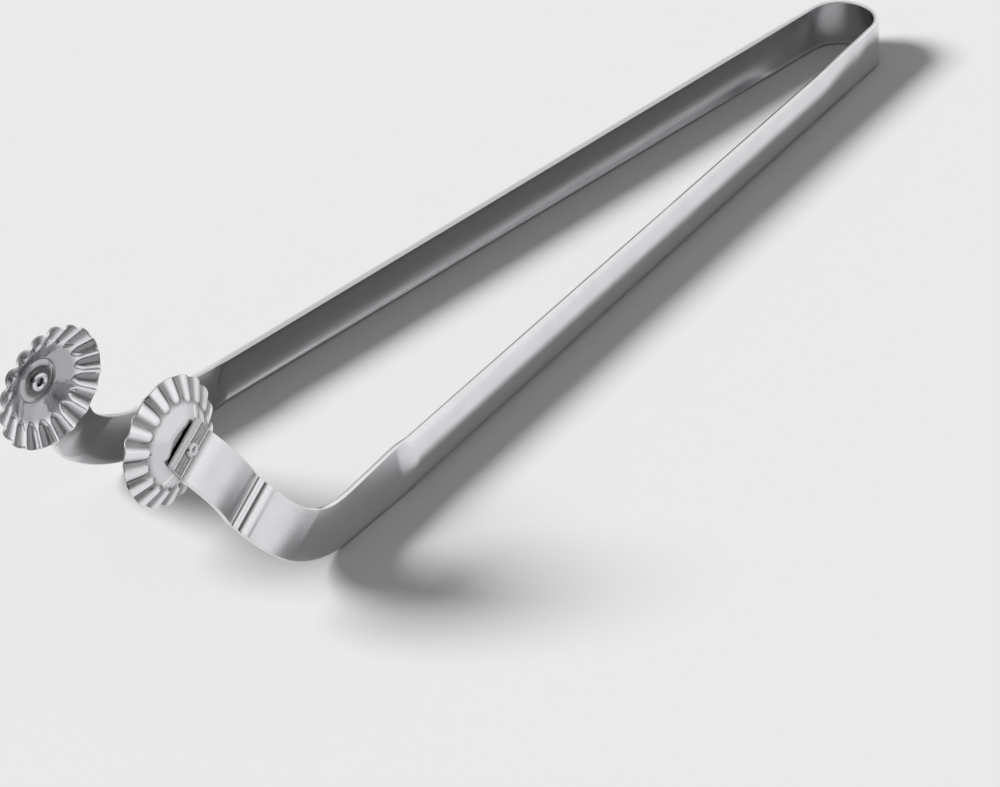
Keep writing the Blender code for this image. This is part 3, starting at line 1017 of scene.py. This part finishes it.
# Dimmer sides of the studio: azimuth, elevation, inner and outer half angle in degrees, depth
DIM_SIDES = ((-150, 8, 10, 50, 0.85), (75, 10, 5, 45, 0.5))

# Levels of the fill and the key light, and the key's width and direction in degrees
FILL_LEVEL = 0.25
KEY_LEVEL = 0.73
KEY_WIDTH = 20
KEY_AZIMUTH = 130
KEY_ELEVATION = 36

FLOOR_REACH = 6.0
FLOOR_COLOUR = (0.84, 0.84, 0.845, 1)

# The camera, as it was fitted to the photograph
CAMERA_RIGHT = Vector((0.62144, -0.78241, -0.0406))
CAMERA_UP = Vector((0.46775, 0.32895, 0.82037))
CAMERA_BACK = Vector((-0.6285, -0.5288, 0.5704))
CAMERA_PLACE = (-0.86637, -0.72271, 0.74634)
CAMERA_LENS = 144.263


def toward(azimuth, elevation):
    """A direction, from its azimuth and elevation in degrees."""
    azimuth, elevation = math.radians(azimuth), math.radians(elevation)
    return Vector((
        math.cos(azimuth) * math.cos(elevation),
        math.sin(azimuth) * math.cos(elevation),
        math.sin(elevation),
    ))


def linked(name, data):
    thing = bpy.data.objects.new(name, data)
    bpy.context.scene.collection.objects.link(thing)
    return thing


def build_world():
    """Surroundings that are seen directly and in steel; all else gets a plain fill light."""
    world = bpy.data.worlds.new("studio")
    bpy.context.scene.world = world
    world.use_nodes = True
    sky = Nodes(world.node_tree)
    direction = sky.nodes.new("ShaderNodeTexCoord").outputs["Generated"]
    split = sky.nodes.new("ShaderNodeSeparateXYZ")
    sky.links.new(direction, split.inputs["Vector"])
    curve = sky.nodes.new("ShaderNodeFloatCurve")
    shape = curve.mapping.curves[0]
    for index, (height, value) in enumerate(SURROUNDINGS):
        spot = ((height + 1) / 2, value)
        if index < 2:
            shape.points[index].location = spot
        else:
            shape.points.new(*spot)
    curve.mapping.update()
    sky.links.new(sky.ranged(split.outputs["Z"], -1, 1, 0.0, 1.0), curve.inputs["Value"])

    seen = curve.outputs["Value"]
    for azimuth, elevation, inner, outer, depth in DIM_SIDES:
        facing = sky.nodes.new("ShaderNodeVectorMath")
        facing.operation = "DOT_PRODUCT"
        sky.links.new(direction, facing.inputs[0])
        facing.inputs[1].default_value = toward(azimuth, elevation)
        start, end = math.cos(math.radians(outer)), math.cos(math.radians(inner))
        dim = sky.ranged(facing.outputs["Value"], start, end, 1.0, 1.0 - depth, "SMOOTHSTEP")
        seen = sky.computed("MULTIPLY", seen, dim)

    path = sky.nodes.new("ShaderNodeLightPath").outputs
    shown = sky.computed("MAXIMUM", path["Is Camera Ray"], path["Is Glossy Ray"])
    shown = sky.computed("MAXIMUM", shown, path["Is Transmission Ray"])
    direct = sky.computed("LESS_THAN", path["Diffuse Depth"], 0.5)
    shown = sky.computed("MULTIPLY", shown, direct)
    mix = sky.nodes.new("ShaderNodeMix")
    for name, value in (("Factor", shown), ("A", FILL_LEVEL), ("B", seen)):
        sky.give(mix.inputs[name], value)
    background = sky.nodes["Background"]
    background.inputs["Color"].default_value = (1, 1, 1, 1)
    sky.links.new(mix.outputs["Result"], background.inputs["Strength"])


def build_key():
    """A wide, distant lamp, which steel doesn't mirror."""
    lamp_data = bpy.data.lights.new("key", "SUN")
    lamp_data.angle = math.radians(KEY_WIDTH)
    lamp_data.energy = KEY_LEVEL * math.pi / math.sin(math.radians(KEY_ELEVATION))
    lamp = linked("key", lamp_data)
    lamp.visible_glossy = False
    toward_key = toward(KEY_AZIMUTH, KEY_ELEVATION)
    lamp.matrix_world = toward_key.to_track_quat("Z", "Y").to_matrix().to_4x4()


def build_floor():
    """A wide floor of pale matt paper."""
    mesh = bpy.data.meshes.new("floor")
    sides = ((-1, -1), (1, -1), (1, 1), (-1, 1))
    corners = [(x * FLOOR_REACH, y * FLOOR_REACH, 0) for x, y in sides]
    mesh.from_pydata(corners, [], [(0, 1, 2, 3)])
    floor = linked("floor", mesh)
    paper = bpy.data.materials.new("paper")
    paper.use_nodes = True
    mesh.materials.append(paper)
    shader = paper.node_tree.nodes["Principled BSDF"]
    shader.inputs["Base Color"].default_value = FLOOR_COLOUR
    shader.inputs["Roughness"].default_value = 1.0
    shader.inputs["Specular IOR Level"].default_value = 0.0


def build_camera():
    """A camera at the photograph's angle."""
    camera_data = bpy.data.cameras.new("camera")
    camera = linked("camera", camera_data)
    axes = Matrix((CAMERA_RIGHT, CAMERA_UP, CAMERA_BACK))
    camera.matrix_world = axes.transposed().to_4x4()
    camera.location = CAMERA_PLACE
    camera_data.lens = CAMERA_LENS
    camera_data.sensor_width = 36
    camera_data.sensor_fit = "HORIZONTAL"
    camera_data.clip_start = 0.01
    camera_data.clip_end = 100
    bpy.context.scene.camera = camera


build_world()
build_key()
build_floor()
build_camera()
bpy.context.scene.view_settings.view_transform = "Standard"
